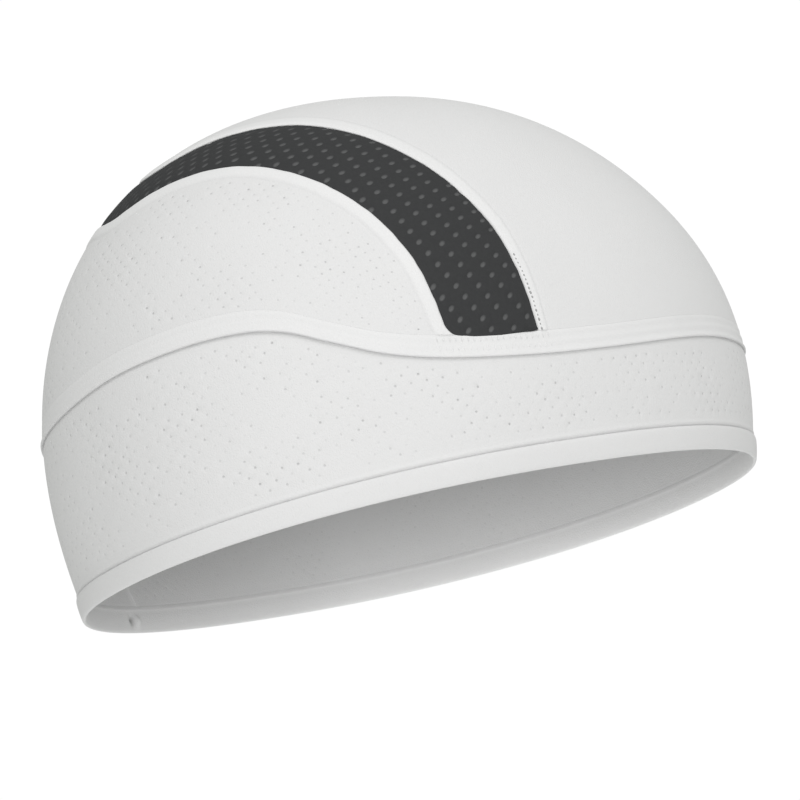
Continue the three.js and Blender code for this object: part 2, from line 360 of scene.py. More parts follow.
STRIPE_STEPS = 260
CUT_CURVE = 1.75
EDGE_WAVER = 0.09 * MM
FRONT_PULL, FRONT_PULL_AT, FRONT_PULL_SPREAD = 0.7 * MM, 52, 14
BACK_PULL, BACK_PULL_FROM, BACK_PULL_EASE = 0.6 * MM, 86, 12
FOOT_SPARE = 0.06
FRONT_FOOT = foot_angle(lambda angle: stripe_edge("front", angle) + FOOT_CORNER)


def uneven(angle, seed):
    """The small waver of a sewn edge."""
    slow = np.sin(61 * angle + seed) * np.sin(23.7 * angle + 2 * seed)
    return EDGE_WAVER * (slow + np.sin(143 * angle) / 3)


def front_edge(angle):
    """The stripe's front edge, with its lower corners rounded off."""
    rise = np.minimum(angle, math.pi - angle)
    above = np.clip((rise - FRONT_FOOT) * ARCH_RADIUS, 0, FOOT_CORNER)
    corner = FOOT_CORNER - np.sqrt(FOOT_CORNER ** 2 - (FOOT_CORNER - above) ** 2)
    pulled = FRONT_PULL * hump(np.degrees(rise) - FRONT_PULL_AT, FRONT_PULL_SPREAD)
    return stripe_edge("front", angle) + corner - (pulled + uneven(angle, 3))


def back_edge(angle):
    """The back edge, which the seam pulls a little back above the feet."""
    rise = np.degrees(np.minimum(angle, math.pi - angle))
    pulled = BACK_PULL * ease((BACK_PULL_FROM - rise) / BACK_PULL_EASE)
    return stripe_edge("back", angle) + pulled + uneven(angle, 8)


front_line = arch_line(front_edge, STRIPE_STEPS)
back_line = arch_line(back_edge, STRIPE_STEPS)
middle_foot = foot_angle(stripe_middle) - FOOT_SPARE
middle_angle = np.linspace(middle_foot, math.pi - middle_foot, STRIPE_STEPS)
middle_line = arch_point(middle_angle, stripe_middle(middle_angle))


def lay_flat(line):
    """A line of the face laid flat with the turning that it has within the cloth."""
    steps = np.diff(line, axis=0)
    lengths = np.linalg.norm(steps, axis=1)
    steps /= lengths[:, None]
    sideways = (np.cross(steps[:-1], steps[1:]) * outward(line[1:-1])).sum(1)
    heading = np.concatenate([[0], np.cumsum(np.arcsin(sideways))]) * CUT_CURVE
    heading -= heading[len(heading) // 2]
    moves = np.stack([np.cos(heading), np.sin(heading)], axis=1) * lengths[:, None]
    points = np.vstack([[0, 0], np.cumsum(moves, axis=0)])
    return points - points.mean(0) * [1, 0], np.concatenate([heading, heading[-1:]])


middle_flat, middle_heading = lay_flat(middle_line)


def stripe_to_flat(angle, along):
    """Flat place of a point of the stripe, measured from the stripe's middle line."""
    middle = arch_point(angle, stripe_middle(angle))
    offset = arch_point(angle, along) - middle
    step = 1e-3
    ahead = arch_point(angle + step, stripe_middle(angle + step)) - middle
    ahead /= np.linalg.norm(ahead, axis=1, keepdims=True)
    normal = outward(middle)
    side = np.cross(normal, ahead)
    flat = np.stack([(offset * ahead).sum(1), (offset * side).sum(1)], axis=1)
    bow = np.linalg.norm(offset, axis=1) / np.maximum(np.linalg.norm(flat, axis=1), 1e-9)
    heading = np.interp(angle, middle_angle, middle_heading)
    turn = np.array([[np.cos(heading), np.sin(heading)], [-np.sin(heading), np.cos(heading)]])
    flat = np.einsum("ni,ijn->nj", flat * bow[:, None], turn)
    return flat + np.stack([np.interp(angle, middle_angle, middle_flat[:, i]) for i in (0, 1)], axis=1)


STEPS_BACK, STEP_SHARE = 12, 0.8


def place_on_stripe(flat):
    """The reverse: the point of the face for each flat place, found in a few steps."""
    angle = np.interp(flat[:, 0], middle_flat[:, 0], middle_angle)
    along = stripe_middle(angle)
    for _ in range(STEPS_BACK):
        heading = np.interp(angle, middle_angle, middle_heading)
        off = flat - stripe_to_flat(angle, along)
        ahead = off[:, 0] * np.cos(heading) + off[:, 1] * np.sin(heading)
        side = off[:, 1] * np.cos(heading) - off[:, 0] * np.sin(heading)
        slant = (stripe_middle(angle + 0.01) - stripe_middle(angle - 0.01)) / (0.02 * ARCH_RADIUS)
        length = np.sqrt(1 + slant ** 2)
        move = (ahead - side * slant) / length / ARCH_RADIUS
        angle = np.clip(angle + STEP_SHARE * move, 0.1, math.pi - 0.1)
        along = along + STEP_SHARE * (ahead * slant - side) / length
    return arch_point(angle, along)


STRIPE_TUCK = 0.9 * MM
FOOT_TRIM = 0.045


def stripe_outline():
    """Round the stripe's cloth, a little under the panels beside it and the strip below it."""
    angle = np.linspace(middle_foot + FOOT_TRIM, math.pi - middle_foot - FOOT_TRIM, STRIPE_STEPS)
    front = stripe_to_flat(angle, front_edge(angle) - STRIPE_TUCK)
    back = stripe_to_flat(angle, back_edge(angle) + STRIPE_TUCK)
    return np.vstack([front[::-1], back])


stripe_border = stripe_outline()
stripe_front = stripe_to_flat(middle_angle, front_edge(middle_angle))
stripe_back = stripe_to_flat(middle_angle, back_edge(middle_angle))


def stripe_relief(flat):
    """The mesh sinks towards its seams and ripples a little along them."""
    edge = np.minimum(distance_to(flat, stripe_front), distance_to(flat, stripe_back))
    ripple = np.sin(flat[:, 0] / (2.9 * MM)) * np.sin(flat[:, 0] / (1.37 * MM) + 1)
    near = hump(edge, 1.6 * MM)
    return -0.35 * MM * near + 0.06 * MM * ripple * near


MESH_EYE = {"sides": 10, "across": 1.4 * MM, "along": 2.3 * MM, "lean": -0.25, "floor": 0.5,
            "depth": 0.3 * MM, "back_depth": 0.0}
EYE_STEP, EYE_ROW_STEP = (2.93 * MM, -1.63 * MM), (1.86 * MM, 4.35 * MM)
EYE_START, EYE_SKEW = (-73.6 * MM, -27.8 * MM), (-0.064 * MM, -0.029 * MM)
EYE_ABOVE_STRIP = 0.95 * MM
stripe_eyes = lattice(stripe_border, EYE_STEP, EYE_ROW_STEP, 1.3 * MM, EYE_START, EYE_SKEW)
eye_places = place_on_stripe(stripe_eyes)
above_strip = eye_places[:, 2] - seam_height(angle_round(eye_places)) - STRIP_WIDTH
stripe_eyes = stripe_eyes[above_strip > EYE_ABOVE_STRIP]
stripe_fill = lattice(stripe_border, (1.5 * MM, 0), (0.75 * MM, 1.3 * MM), 0.5 * MM)
stripe_fill = clear_of(stripe_fill, stripe_eyes, 1.45 * MM)
stripe = cut_cloth("stripe_cloth", stripe_border, stripe_fill, stripe_eyes, MESH_EYE,
                   place_on_stripe, stripe_relief, MESH_WALL)


class Wire:
    """An output of a material's nodes that can be reckoned with like a number."""

    def __init__(self, tree, socket):
        self.tree, self.socket = tree, socket

    def reckon(self, operation, *values):
        node = self.tree.nodes.new("ShaderNodeMath")
        node.operation = operation
        for slot, value in zip(node.inputs, values):
            if isinstance(value, Wire):
                self.tree.links.new(value.socket, slot)
            else:
                slot.default_value = value
        return Wire(self.tree, node.outputs[0])

    def __add__(self, other):
        return self.reckon("ADD", self, other)

    def __mul__(self, other):
        return self.reckon("MULTIPLY", self, other)

    def __sub__(self, other):
        return self.reckon("SUBTRACT", self, other)

    def __rsub__(self, other):
        return self.reckon("SUBTRACT", other, self)

    __radd__ = __add__

    def node(self, kind, output, settings=None, sockets=None):
        """Any other node of the same tree, with its settings and sockets."""
        node = self.tree.nodes.new(kind)
        for name, value in (settings or {}).items():
            setattr(node, name, value)
        for name, value in (sockets or {}).items():
            slot = node.inputs[name]
            if isinstance(value, Wire):
                self.tree.links.new(value.socket, slot)
            else:
                slot.default_value = value
        return Wire(self.tree, node.outputs[output])


def cloth_material(name):
    """An empty cloth: its shader and a first wire to reckon from, the object's coordinates."""
    material = bpy.data.materials.new(name)
    material.use_nodes = True
    shader = material.node_tree.nodes["Principled BSDF"]
    shader.inputs["IOR"].default_value = 1.4
    shader.inputs["Specular IOR Level"].default_value = 0.25
    place = material.node_tree.nodes.new("ShaderNodeTexCoord")
    return material, shader, Wire(material.node_tree, place.outputs["Object"])


def feed(shader, slot, wire):
    """Leads a wire to a socket of the shader."""
    wire.tree.links.new(wire.socket, shader.inputs[slot])


def noise(place, scale, detail):
    """Even noise on the object's coordinates."""
    return place.node("ShaderNodeTexNoise", "Fac",
                      sockets={"Vector": place, "Scale": scale, "Detail": detail})


def mark(place, name):
    """A value that the mesh carries, by its name."""
    return place.node("ShaderNodeAttribute", "Fac", {"attribute_name": name})


def emboss(shader, height, distance):
    """Relief too small to be cut as geometry."""
    bump = height.node("ShaderNodeBump", "Normal",
                       sockets={"Height": height, "Distance": distance, "Strength": 1.0})
    feed(shader, "Normal", bump)


MESH_FRONT_COLOR = (0.040, 0.041, 0.042, 1)
MESH_BACK_COLOR = (0.125, 0.127, 0.128, 1)
COLOR_MIX_FACTOR, COLOR_MIX_A, COLOR_MIX_B, COLOR_MIX_RESULT = 0, 6, 7, 2


def dark_mesh_material():
    """Charcoal mesh, paler where an eye shows its back."""
    material, shader, place = cloth_material("dark_mesh")
    eye = mark(place, "eye")
    cloudy = noise(place, 900.0, 2.0)
    color = place.node("ShaderNodeMix", COLOR_MIX_RESULT, {"data_type": "RGBA"},
                       {COLOR_MIX_FACTOR: eye * 0.9 + cloudy * 0.1, COLOR_MIX_A: MESH_FRONT_COLOR,
                        COLOR_MIX_B: MESH_BACK_COLOR})
    feed(shader, "Base Color", color)
    shader.inputs["Roughness"].default_value = 0.85
    emboss(shader, cloudy, 0.1 * MM)
    return material


def dress(piece, material, node):
    """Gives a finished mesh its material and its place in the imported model."""
    if material:
        piece.data.materials.append(material)
    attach(piece, "root")
    if node:
        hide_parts(node)


dress(stripe, dark_mesh_material(), "mesh_stripe")


# Front panel: white knit with fine pinholes, a half dome over the forehead. Its edge along the
# stripe is turned under and stands up as a narrow margin, with a faint line where the turned
# layer ends.
PINHOLE = {"sides": 6, "across": 0.8 * MM, "along": 0.8 * MM, "lean": 0.0, "floor": 0.6,
           "depth": 0.13 * MM, "back_depth": 0.04 * MM}
PINHOLE_STEPS = (4 * MM, 0), (2 * MM, 2 * MM)
PINHOLE_WAVER = 0.16 * MM
MARGIN_WIDTH = 4.3 * MM
MARGIN_RISE = 0.3 * MM
MARGIN_ROWS = (0.3, 0.7, 1.3, 2.1, 3.0, 3.8, 4.3, 4.8, 5.4)
MARGIN_ROW_STEP = 0.8 * MM
PAST_MARGIN = 5.9 * MM
EDGE_STEP = 0.7 * MM
ROW_APART, ROW_SPARE = 0.93, 0.28 * MM
STRIP_TOP_TURNS = 400


class Dome:
    """A patch of the cap laid flat about a point of the face, true to size along its spokes."""

    def __init__(self, way, radius):
        self.heart = on_face(np.array([[0, 0, 20 * MM]]), np.array([way]) / np.linalg.norm(way))[0]
        self.normal = outward(self.heart[None])[0]
        self.level = np.array([1.0, 0, 0])
        self.rise = np.cross(self.normal, self.level)
        self.radius = radius
        self.middle = self.heart - self.normal * radius

    def place(self, flat):
        spoke = np.maximum(np.hypot(flat[:, 0], flat[:, 1]), 1e-9)
        turn = spoke / self.radius
        ways = self.normal * np.cos(turn)[:, None]
        ways = ways + self.level * (np.sin(turn) * flat[:, 0] / spoke)[:, None]
        ways = ways + self.rise * (np.sin(turn) * flat[:, 1] / spoke)[:, None]
        return on_face(self.middle, ways)

    def flatten(self, points):
        ways = points - self.middle
        ways = ways / np.linalg.norm(ways, axis=1, keepdims=True)
        turn = np.arccos(np.clip(ways @ self.normal, -1, 1))
        x, y = ways @ self.level, ways @ self.rise
        size = np.maximum(np.hypot(x, y), 1e-9)
        return np.stack([x, y], axis=1) / size[:, None] * (turn * self.radius)[:, None]


def strip_top(start, end, count):
    """The seam strip's upper edge between two angles round."""
    angle = np.linspace(start, end, count)
    return wall_point(angle, seam_height(angle) + STRIP_WIDTH)


def even(line, spacing):
    """A line of points made even, about spacing apart."""
    run = arc_lengths(line)
    at = np.linspace(0, run[-1], max(int(run[-1] / spacing), 2) + 1)
    return np.stack([np.interp(at, run, line[:, i]) for i in range(line.shape[1])], axis=1)


def margin_relief(flat, line):
    """The turned margin along a line: a low flat ridge with a faint groove at its outer side."""
    edge = distance_to(flat, line)
    raised = MARGIN_RISE / (1 + np.exp((edge - MARGIN_WIDTH) / (0.28 * MM)))
    groove = 0.1 * MM * hump(edge - MARGIN_WIDTH - 0.5 * MM, 0.35 * MM)
    rolled = 0.4 * MM * hump(edge, 0.35 * MM)
    return raised - groove - rolled


def margin_tone_and_painted_shade(flat, line, end_line_painted_shade):
    """Two layers look whiter than one, and the line where the turned layer ends gets painted shade."""
    edge = distance_to(flat, line)
    double = 0.06 / (1 + np.exp((edge - MARGIN_WIDTH) / (0.3 * MM)))
    # Painted shade along the groove where the turned layer ends.
    return double - end_line_painted_shade * hump(edge - MARGIN_WIDTH - 0.4 * MM, 0.35 * MM)


def rows_beside(line, outline, steps):
    """Rows of points at given distances from a line, on the side that is inside the outline."""
    ahead = np.gradient(line, axis=0)
    ahead /= np.linalg.norm(ahead, axis=1, keepdims=True)
    side = np.stack([-ahead[:, 1], ahead[:, 0]], axis=1)
    half = len(line) // 2
    if not inside(line[half][None] + 1 * MM * side[half], outline)[0]:
        side = -side
    rows = []
    for step in steps:
        row = line + side * step * MM
        row = row[inside(row, outline)]
        row = row[distance_to(row, line) > ROW_APART * step * MM]
        rows.append(row[distance_to(row, np.vstack([outline, outline[:1]])) > ROW_SPARE])
    return np.vstack(rows)


front_foot_round = angle_round(front_line[:1])[0]
front_dome = Dome((0, -1, 0.75), 95 * MM)
front_stripe_edge = front_dome.flatten(front_line)
front_rim = front_dome.flatten(strip_top(-front_foot_round, front_foot_round, STRIP_TOP_TURNS))
front_border = np.vstack([even(front_rim, 1.1 * MM)[:-1], even(front_stripe_edge, EDGE_STEP)[:-1]])


def front_relief(flat):
    """Smooth but for the turned margin."""
    return margin_relief(flat, front_stripe_edge)


front_eyes = lattice(front_border, *PINHOLE_STEPS, 1.2 * MM)
front_eyes = front_eyes[distance_to(front_eyes, front_stripe_edge) > 6 * MM]
front_eyes += np.random.default_rng(11).normal(0, PINHOLE_WAVER, front_eyes.shape)


OPEN_USUAL, OPEN_BY_PATCH, OPEN_BY_CHANCE, OPEN_LEAST = 0.3, 0.22, 0.24, 0.04


def pinhole_openness(eyes, seed):
    """How open each pinhole is, which sets its pit's depth and painted shade: the knit closes many of
    them, in patches.
    """
    chance = np.random.default_rng(seed)
    patch = np.sin(eyes[:, 0] / (11 * MM) + seed) * np.sin(eyes[:, 1] / (7 * MM) + 2 * seed)
    patch += 0.6 * np.sin(eyes[:, 0] / (4.3 * MM) + 1.7 * eyes[:, 1] / (9 * MM))
    opened = OPEN_USUAL + OPEN_BY_PATCH * patch + chance.normal(0, OPEN_BY_CHANCE, len(eyes))
    return np.clip(opened, OPEN_LEAST, 1)


front_fill = lattice(front_border, (1.6 * MM, 0), (0.8 * MM, 1.4 * MM), 0.6 * MM)
front_fill = front_fill[distance_to(front_fill, front_stripe_edge) > PAST_MARGIN]
front_fill = clear_of(front_fill, front_eyes, 0.9 * MM)
front_rows = rows_beside(even(front_stripe_edge, MARGIN_ROW_STEP), front_border, MARGIN_ROWS)
front_fill = np.vstack([front_fill, front_rows])
front = cut_cloth("front_cloth", front_border, front_fill, front_eyes, PINHOLE,
                  front_dome.place, front_relief, KNIT_WALL, pinhole_openness(front_eyes, 1),
                  lambda flat: margin_tone_and_painted_shade(flat, front_stripe_edge, 0.035))


KNIT_WHITE, TAPE_WHITE = 0.80, 0.83
TO_JOIN = (-0.64, -0.77, 0)
# Painted light and shade inside the cap: darker deep in and lighter near the rim by height, and darker
# towards the join.
INSIDE_PAINTED_LIGHT_BY_HEIGHT = {"From Min": -84 * MM, "From Max": -106 * MM, "To Min": -0.24, "To Max": 0.17}
INSIDE_PAINTED_SHADE_TO_JOIN = {"From Min": 20 * MM, "From Max": 90 * MM, "To Min": 0.0, "To Max": 0.32}


def knit_material(name, white):
    """White knit with a fine nap, with painted shade deep inside and towards the join and painted light at
    the rim.
    """
    material, shader, place = cloth_material(name)
    eye = mark(place, "eye")
    within = mark(place, "inside")
    # Pinhole floors get painted shade standing in for the hole's shadow, weaker on the inside.
    eye = eye * (1.0 - within * 0.7)
    cloudy = noise(place, 60.0, 3.0)
    nap = noise(place, 2600.0, 2.0)
    height = place.node("ShaderNodeSeparateXYZ", "Z", sockets={"Vector": place})
    to_join = place.node("ShaderNodeVectorMath", "Value", {"operation": "DOT_PRODUCT"},
                         {0: place, 1: TO_JOIN})
    # Painted shade deep inside the cap and painted light near its rim, by height.
    rim = place.node("ShaderNodeMapRange", "Result", sockets={"Value": height, **INSIDE_PAINTED_LIGHT_BY_HEIGHT})
    # Painted shade inside the cap, darker towards the join.
    join_painted_shade = place.node("ShaderNodeMapRange", "Result", sockets={"Value": to_join, **INSIDE_PAINTED_SHADE_TO_JOIN})
    inside_painted_light = within * (rim - join_painted_shade)
    # The tone mark is mostly painted shade in grooves and creases and painted light on ridges.
    shade = 1.0 + mark(place, "tone_and_painted_shading") + inside_painted_light - eye * 0.30
    shade = (shade + (cloudy - 0.5) * 0.03 + (nap - 0.5) * 0.03) * white
    color = place.node("ShaderNodeCombineColor", "Color",
                       sockets={"Red": shade, "Green": shade, "Blue": shade})
    feed(shader, "Base Color", color)
    shader.inputs["Roughness"].default_value = 0.92
    shader.inputs["Sheen Weight"].default_value = 0.15
    emboss(shader, nap, 0.12 * MM)
    return material


band_knit = knit_material("band_knit", KNIT_WHITE)
dress(front, band_knit, "front_panel")


# Crown panel: smooth white knit behind the stripe, over the crown and down to the nape. It has no
# pinholes, and its edge along the stripe is turned under like the front panel's.
crown_dome = Dome((0, 0.25, 1), 88 * MM)
back_foot_round = angle_round(back_line[:1])[0]
crown_stripe_edge = crown_dome.flatten(back_line)
crown_rim = crown_dome.flatten(strip_top(back_foot_round, 2 * math.pi - back_foot_round, STRIP_TOP_TURNS))
crown_border = np.vstack([even(crown_rim, 1.2 * MM)[:-1], even(crown_stripe_edge[::-1], EDGE_STEP)[:-1]])


def crown_relief(flat):
    """Smooth but for the turned margin."""
    return margin_relief(flat, crown_stripe_edge)


crown_fill = lattice(crown_border, (2.0 * MM, 0), (1.0 * MM, 1.75 * MM), 0.7 * MM)
crown_fill = crown_fill[distance_to(crown_fill, crown_stripe_edge) > PAST_MARGIN]
crown_rows = rows_beside(even(crown_stripe_edge, MARGIN_ROW_STEP), crown_border, MARGIN_ROWS)
crown_fill = np.vstack([crown_fill, crown_rows])
crown = cut_cloth("crown_cloth", crown_border, crown_fill, np.zeros((0, 2)), PINHOLE,
                  crown_dome.place, crown_relief, KNIT_WALL,
                  tone_and_painted_shading=lambda flat: margin_tone_and_painted_shade(flat, crown_stripe_edge, 0.01))
dress(crown, knit_material("crown_knit", KNIT_WHITE), "crown_panel")


# Seam strip: the upper layers turned and stitched down over the top of the band, so that their
# rolled lower edge hangs a little over it.
RING_STEPS = 900


def ring(name, section):
    """A closed ring of cloth. section gives height, stand-off, tone and side all round, row by row.
    Its tone is mostly painted shade in creases and painted light on ridges.
    """
    angle = np.linspace(0, 2 * np.pi, RING_STEPS, endpoint=False)
    rows = section(angle)
    points = []
    for height, stand, _, _ in rows:
        face = wall_point(angle, np.maximum(height, 0))
        face[:, 2] = height
        points.append(face + outward(wall_point(angle, np.maximum(height, 1e-5))) * stand[:, None])
    points = np.array(points)
    lines = len(points)
    index = np.arange(lines * RING_STEPS).reshape(lines, RING_STEPS)
    below = np.roll(index, -1, axis=0)
    faces = np.stack([np.roll(index, -1, axis=1), index, below, np.roll(below, -1, axis=1)], axis=-1)
    run = arc_lengths(np.vstack([points[0], points[0][:1]]))[:-1]
    height = np.array([row[0] for row in rows])
    flat = np.stack([np.broadcast_to(run, height.shape), height], axis=-1).reshape(-1, 2)
    marks = {"tone_and_painted_shading": np.array([row[2] for row in rows]).ravel(),
             "inside": np.repeat([float(row[3]) for row in rows], RING_STEPS)}
    return mesh_object(name, points.reshape(-1, 3), faces.reshape(-1, 4), flat, marks)


# Each row has its height above the lower edge and its stand-off in millimetres, its share of the
# stitched ridge, and how much lighter or darker it is: painted shade under the rolled lower edge.
STRIP_PROFILE = (
    (6.08, 0.0, 0.0, 0.0), (5.9, 0.0, 0.1, 0.0), (5.5, 0.02, 0.18, 0.01), (5.0, 0.03, 0.05, 0.0),
    (4.4, 0.04, -0.08, -0.01), (3.8, 0.05, 0.15, 0.0), (3.3, 0.06, 0.26, 0.01), (2.8, 0.08, 0.2, 0.0),
    (2.2, 0.1, 0, 0.0), (1.6, 0.2, -0.1, 0.0), (1.1, 0.36, 0, 0.0), (0.75, 0.48, 0, 0.0),
    (0.5, 0.46, 0, -0.01), (0.36, 0.32, 0, -0.06), (0.32, 0.05, 0, -0.2), (0.4, -0.6, 0, -0.3))
STRIP_TOP = 6.08


def strip_section(angle):
    """From the upper edge down the outer side, round the rolled lower edge and up the inner side."""
    low = seam_height(angle)
    side = np.abs(np.arctan2(np.sin(angle), np.cos(angle)))
    ridged = 0.06 + 0.5 * ease((side - math.radians(62)) / math.radians(30))
    mesh_foot = ease((side - front_foot_round + 0.01) / 0.02) * ease((back_foot_round - side) / 0.015)
    full = 1 + 0.7 * hump(np.degrees(side) - 40, 16)
    rows = []
    for up, stand, ridge, tone_and_painted_shading in STRIP_PROFILE:
        rolled = -0.4 * hump(STRIP_TOP - up, 0.3) * mesh_foot
        rows.append((low + up * MM, (stand * full + ridge * ridged + rolled) * MM,
                     np.full(len(angle), tone_and_painted_shading), 0))
    for up in (0.4, 3.0, STRIP_TOP):
        rows.append((low + up * MM, np.full(len(angle), -KNIT_WALL), np.zeros(len(angle)), 1))
    return rows


strip = ring("strip_cloth", strip_section)
dress(strip, knit_material("seam_tape", TAPE_WHITE), "seam_strip")


# Band: one layer of pinholed knit round the head, joined on the wearer's right. A low ridge runs
# along it above the hem, and its upper edge dips under the seam strip.
HEM_HEIGHT = 5.8 * MM
HEM_RIDGE_UP = 0.9 * MM
JOIN_ANGLE = math.radians(-48)
BAND_TURNS = 500
BAND_MEASURED_AT = 22 * MM
BAND_END_STEPS = 26
ROWS_OVER_HEM = (0.1, 0.5, 0.9, 1.3, 1.9)
ROWS_UNDER_SEAM = (-0.3, -0.05, 0.25, 0.6, 1.0, 1.5)
band_angle = JOIN_ANGLE + np.linspace(0, 2 * np.pi, BAND_TURNS + 1)
band_round = arc_lengths(wall_point(band_angle, np.full(BAND_TURNS + 1, BAND_MEASURED_AT)))


def place_on_band(flat):
    """Points of the face from the way round and the height."""
    return wall_point(np.interp(flat[:, 0], band_round, band_angle), flat[:, 1])


def below_seam(flat):
    """How far below the wavy seam flat points lie."""
    return seam_height(np.interp(flat[:, 0], band_round, band_angle)) - flat[:, 1]


def band_relief(flat):
    """Cut ends that meet in a groove, a low ridge over the hem and a dip under the seam strip."""
    end = np.minimum(flat[:, 0], band_round[-1] - flat[:, 0])
    over_hem = flat[:, 1] - HEM_HEIGHT
    ridge = 0.26 * hump(over_hem - HEM_RIDGE_UP, 0.4 * MM) - 0.25 * hump(over_hem, 0.35 * MM)
    dip = 0.32 * hump(np.maximum(below_seam(flat) + 0.3 * MM, 0), 0.6 * MM)
    return (ridge - dip - 0.4 * hump(end, 0.6 * MM)) * MM


def band_painted_shading(flat):
    """Painted shade under the seam strip and above the hem, painted light on its ridge, lighter where the
    ends meet.
    """
    end = np.minimum(flat[:, 0], band_round[-1] - flat[:, 0])
    over_hem = flat[:, 1] - HEM_HEIGHT
    # Painted shade under the seam strip and in the groove above the hem, painted light on the ridge.
    seam = -0.16 * hump(np.maximum(below_seam(flat) + 0.3 * MM, 0), 0.3 * MM)
    groove = -0.12 * hump(over_hem - 0.1 * MM, 0.25 * MM)
    ridge = 0.03 * hump(over_hem - HEM_RIDGE_UP, 0.4 * MM)
    return seam + groove + ridge + 0.1 * hump(end, 1.2 * MM)


band_top = np.stack([band_round, seam_height(band_angle) + 0.6 * MM], axis=1)
band_bottom = np.stack([band_round, np.full(BAND_TURNS + 1, HEM_HEIGHT - 0.4 * MM)], axis=1)
band_end = np.linspace(band_bottom[-1], band_top[-1], BAND_END_STEPS)[1:-1]
band_border = np.vstack([band_bottom, band_end, band_top[::-1], band_end[::-1] - [band_round[-1], 0]])
band_border[:, 0] += 0.02 * MM * np.where(band_border[:, 0] < 1e-6, 1, 0)
band_eyes = lattice(band_border, *PINHOLE_STEPS, 1.0 * MM, (0, 7.6 * MM))
band_eyes = band_eyes[band_eyes[:, 1] > HEM_HEIGHT + 2.6 * MM]
band_fill = lattice(band_border, (1.9 * MM, 0), (0.95 * MM, 1.6 * MM), 0.7 * MM)
band_fill = band_fill[band_fill[:, 1] > HEM_HEIGHT + 2.2 * MM]
band_rows = [np.stack([band_round, np.full(BAND_TURNS + 1, HEM_HEIGHT + up * MM)], axis=1)[1:-1]
             for up in ROWS_OVER_HEM]
band_rows += [np.stack([band_round, seam_height(band_angle) - down * MM], axis=1)[1:-1]
              for down in ROWS_UNDER_SEAM]
band_eyes = band_eyes[below_seam(band_eyes) > 2.3 * MM]
band_eyes += np.random.default_rng(12).normal(0, PINHOLE_WAVER, band_eyes.shape)
band_fill = band_fill[below_seam(band_fill) > 1.9 * MM]
band_fill = np.vstack([clear_of(band_fill, band_eyes, 0.95 * MM)] + band_rows)
band = cut_cloth("band_cloth", band_border, band_fill, band_eyes, PINHOLE, place_on_band, band_relief,
                 KNIT_WALL, pinhole_openness(band_eyes, 5), band_painted_shading)
dress(band, band_knit, "side_band")


# Hem: the band's lower edge turned up inside and stitched, rounder and thicker than the band. By
# the join its inner side has a small notch with a flap next to it. Each row of the profile has its
# height and stand-off in millimetres, its tone, and 1 where it is on the inner side. The tone is
# painted shade in the groove at the top and painted light along the ridge on the inner side.
HEM_PROFILE = (
    (5.85, -0.45, -0.2, 0), (5.82, 0.05, -0.12, 0), (5.75, 0.42, 0, 0), (5.55, 0.68, 0, 0),
    (5.0, 0.86, 0, 0), (3.9, 0.98, 0, 0), (2.6, 1.04, 0, 0), (1.4, 1.06, 0, 0), (0.6, 1.04, 0, 0),
    (0.25, 0.95, 0, 0), (0.06, 0.78, 0, 0), (0.0, 0.55, 0, 0.5), (0.08, 0.28, 0, 1), (0.4, 0.0, 0, 1),
    (1.1, -0.38, 0.02, 1), (2.0, -0.75, 0.03, 1), (3.0, -1.05, 0.03, 1), (3.9, -1.25, 0.02, 1),
    (4.5, -1.36, 0.0, 1), (5.0, -1.46, 0.03, 1), (5.4, -1.56, 0.13, 1), (5.8, -1.54, 0.16, 1),
    (6.2, -1.4, 0.19, 1), (6.6, -1.24, 0.19, 1), (7.0, -1.06, 0.16, 1))
NOTCH_PAST_JOIN = 0.06


def hem_section(angle):
    """From the groove at its top down the outer side, round the fold and up to the inner edge."""
    across = (angle - JOIN_ANGLE - NOTCH_PAST_JOIN + np.pi) % (2 * np.pi) - np.pi
    rows = []
    for up, stand, tone_and_painted_shading, within in HEM_PROFILE:
        notch = hump(across, 0.011) * hump(up - 2.9, 0.9) * within
        flap = hump(across + 0.03, 0.014) * hump(up - 2.4, 1.1) * within
        # Painted shade in the notch, and the flap beside it coloured lighter.
        rows.append((np.full(len(angle), up * MM), (stand + 0.9 * notch - 0.7 * flap) * MM,
                     tone_and_painted_shading - 0.55 * notch + 0.1 * flap, within))
    return rows


hem = ring("hem_cloth", hem_section)
dress(hem, band_knit, "hem")


# Stitches: grey needle marks beside the mesh stripe's lower ends, and a faint row of cover
# stitches on the seam strip under its feet.
NEEDLE_SPACING, NEEDLE_SIZE = 1.15 * MM, (0.42 * MM, 0.3 * MM, 0.06 * MM)
NEEDLE_FROM, NEEDLE_TO, NEEDLE_AWAY = 0.3 * MM, 17 * MM, 0.75 * MM
COVER_SPACING, COVER_SIZE = 1.6 * MM, (0.2 * MM, 0.6 * MM, 0.13 * MM)
COVER_HEIGHTS = (2.5 * MM, 4.9 * MM)
BEAD_LEAST, BEAD_MOST = 0.55, 1.15


